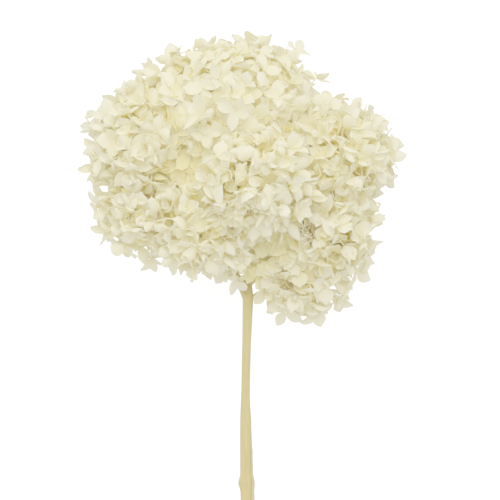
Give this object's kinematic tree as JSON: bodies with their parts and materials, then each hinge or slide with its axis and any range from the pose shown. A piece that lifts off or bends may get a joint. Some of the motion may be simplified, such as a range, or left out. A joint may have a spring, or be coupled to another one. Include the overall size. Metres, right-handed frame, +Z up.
{
  "type": "cut hydrangea",
  "caption": "Preserved cream mophead hydrangea lying on its back: one cut stem forking into rays that carry rounded clusters of four-sepalled florets.",
  "frame": {"origin": "middle of the bounding box in X and Y, on the surface that the flower lies on", "axes": "+Z up from the surface; +Y along the stem from the cut end to the head; +X to the flower's right, seen from above with the stem towards the viewer"},
  "size_m": [0.1878, 0.317, 0.1453],
  "materials": {
    "stem": "matt, dry pale-straw bark with fine lengthwise ridges",
    "side_shoot": "matt, dry, slightly darker than the stem",
    "rays": "matt, pale dried flower stalk",
    "sepals": "matt, papery, slightly translucent cream, yellower deep in the head"
  },
  "bodies": {
    "root": {"main_stem": "stem", "side_shoot": "side_shoot", "ray_crown": "rays", "crown_florets_1": "sepals", "crown_florets_2": "sepals", "crown_florets_3": "sepals", "crown_florets_4": "sepals", "ray_upper_left": "rays", "upper_left_florets_1": "sepals", "upper_left_florets_2": "sepals", "ray_far_left": "rays", "far_left_florets_1": "sepals", "far_left_florets_2": "sepals", "far_left_florets_3": "sepals", "ray_left": "rays", "left_florets_1": "sepals", "left_florets_2": "sepals", "ray_lower_left": "rays", "lower_left_florets_1": "sepals", "lower_left_florets_2": "sepals", "lower_left_florets_3": "sepals", "ray_front": "rays", "front_florets_1": "sepals", "front_florets_2": "sepals", "front_florets_3": "sepals", "front_florets_4": "sepals", "ray_right": "rays", "right_florets_1": "sepals", "right_florets_2": "sepals", "right_florets_3": "sepals", "ray_lower_right": "rays", "lower_right_florets_1": "sepals", "lower_right_florets_2": "sepals", "ray_drooping": "rays", "drooping_florets_1": "sepals", "drooping_florets_2": "sepals", "ray_back_left": "rays", "back_left_florets_1": "sepals", "back_left_florets_2": "sepals", "back_left_florets_3": "sepals", "ray_back_right": "rays", "back_right_florets_1": "sepals", "back_right_florets_2": "sepals", "back_right_florets_3": "sepals"}
  },
  "joints": []
}
